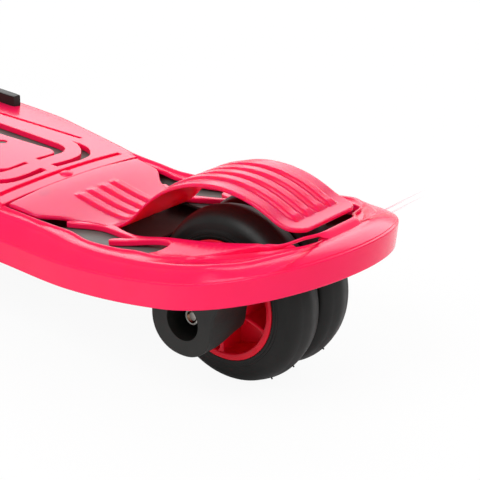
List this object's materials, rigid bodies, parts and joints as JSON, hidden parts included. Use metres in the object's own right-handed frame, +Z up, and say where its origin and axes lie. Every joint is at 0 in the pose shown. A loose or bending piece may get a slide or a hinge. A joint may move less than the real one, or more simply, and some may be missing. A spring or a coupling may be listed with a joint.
{
  "type": "kick scooter",
  "caption": "Three-wheel kick scooter: one steered front wheel, twin rear wheels under a hinged foot brake, height-adjustable handlebar.",
  "frame": {"origin": "on the ground below the middle of the scooter, seen from above", "axes": "+X to the rider's left, +Y to the rear, +Z up; the scooter drives towards -Y"},
  "size_m": [0.3086, 0.6417, 0.7597],
  "materials": {
    "deck_plastic": "glossy moulded pink-red",
    "black_plastic": "satin moulded black",
    "tyre_rubber": "satin black polyurethane",
    "grip_rubber": "matt ribbed rubber",
    "painted_steel": "satin black powder coat",
    "plated_steel": "zinc plated",
    "bar_aluminium": "brushed and anodised"
  },
  "bodies": {
    "deck": {"deck_shell": "deck_plastic", "underframe": "black_plastic", "brake_spring": "plated_steel", "brake_hinge_pin": "plated_steel", "deck_screw_1": "plated_steel", "deck_screw_2": "plated_steel", "deck_screw_3": "plated_steel", "deck_screw_4": "plated_steel", "deck_screw_5": "plated_steel", "deck_screw_6": "plated_steel", "neck": "black_plastic", "headset_bearing_lower": "plated_steel", "headset_bearing_upper": "plated_steel", "rear_wheel_left_inner_spacer": "plated_steel", "rear_wheel_right_inner_spacer": "plated_steel", "rear_centre_washer": "plated_steel", "rear_side_spacer_left": "plated_steel", "rear_side_spacer_right": "plated_steel", "rear_axle_bolt": "plated_steel", "rear_axle_nut": "plated_steel"},
    "brake": {"rear_brake": "deck_plastic"},
    "rear_wheel_left": {"rear_wheel_left_tyre": "tyre_rubber", "rear_wheel_left_hub": "deck_plastic", "rear_wheel_left_bearing_left": "plated_steel", "rear_wheel_left_bearing_right": "plated_steel"},
    "rear_wheel_right": {"rear_wheel_right_tyre": "tyre_rubber", "rear_wheel_right_hub": "deck_plastic", "rear_wheel_right_bearing_left": "plated_steel", "rear_wheel_right_bearing_right": "plated_steel"},
    "steering": {"fork": "painted_steel", "front_mudguard": "deck_plastic", "steering_column": "painted_steel", "height_clamp": "deck_plastic", "clamp_bolt": "plated_steel", "front_axle_bolt": "plated_steel", "front_axle_nut": "plated_steel", "front_wheel_inner_spacer": "plated_steel", "front_side_spacer_left": "plated_steel", "front_side_spacer_right": "plated_steel"},
    "front_wheel": {"front_wheel_tyre": "tyre_rubber", "front_wheel_hub": "deck_plastic", "front_wheel_bearing_left": "plated_steel", "front_wheel_bearing_right": "plated_steel"},
    "bar": {"handlebar": "bar_aluminium", "grip_left": "grip_rubber", "grip_right": "grip_rubber"},
    "lever": {"clamp_lever": "black_plastic"}
  },
  "joints": [
    {"name": "brake_pivot", "type": "hinge", "parent": "deck", "child": "brake", "pos_m": [0, 0.1077, 0.06654], "axis": [-1, 0, 0], "range_deg": [0, 3.2], "stiffness_Nm_per_rad": 12, "springref_deg": -2.86, "deforming": ["brake_spring"]},
    {"name": "rear_wheel_left_spin", "type": "hinge", "parent": "deck", "child": "rear_wheel_left", "pos_m": [0, 0.2441, 0.05], "axis": [1, 0, 0], "continuous": true},
    {"name": "rear_wheel_right_spin", "type": "hinge", "parent": "deck", "child": "rear_wheel_right", "pos_m": [0, 0.2441, 0.05], "axis": [1, 0, 0], "continuous": true},
    {"name": "steering_turn", "type": "hinge", "parent": "deck", "child": "steering", "pos_m": [0, -0.2659, 0.055], "axis": [0, 0.2079, 0.9781], "range_deg": [-45, 45]},
    {"name": "front_wheel_spin", "type": "hinge", "parent": "steering", "child": "front_wheel", "pos_m": [0, -0.2659, 0.055], "axis": [1, 0, 0], "continuous": true},
    {"name": "bar_height", "type": "slide", "parent": "steering", "child": "bar", "axis": [0, 0.2079, 0.9781], "range_m": [-0.08, 0.08]},
    {"name": "clamp_lever_swing", "type": "hinge", "parent": "steering", "child": "lever", "pos_m": [0, -0.13882, 0.50425], "axis": [1, 0, 0], "range_deg": [0, 100]}
  ]
}
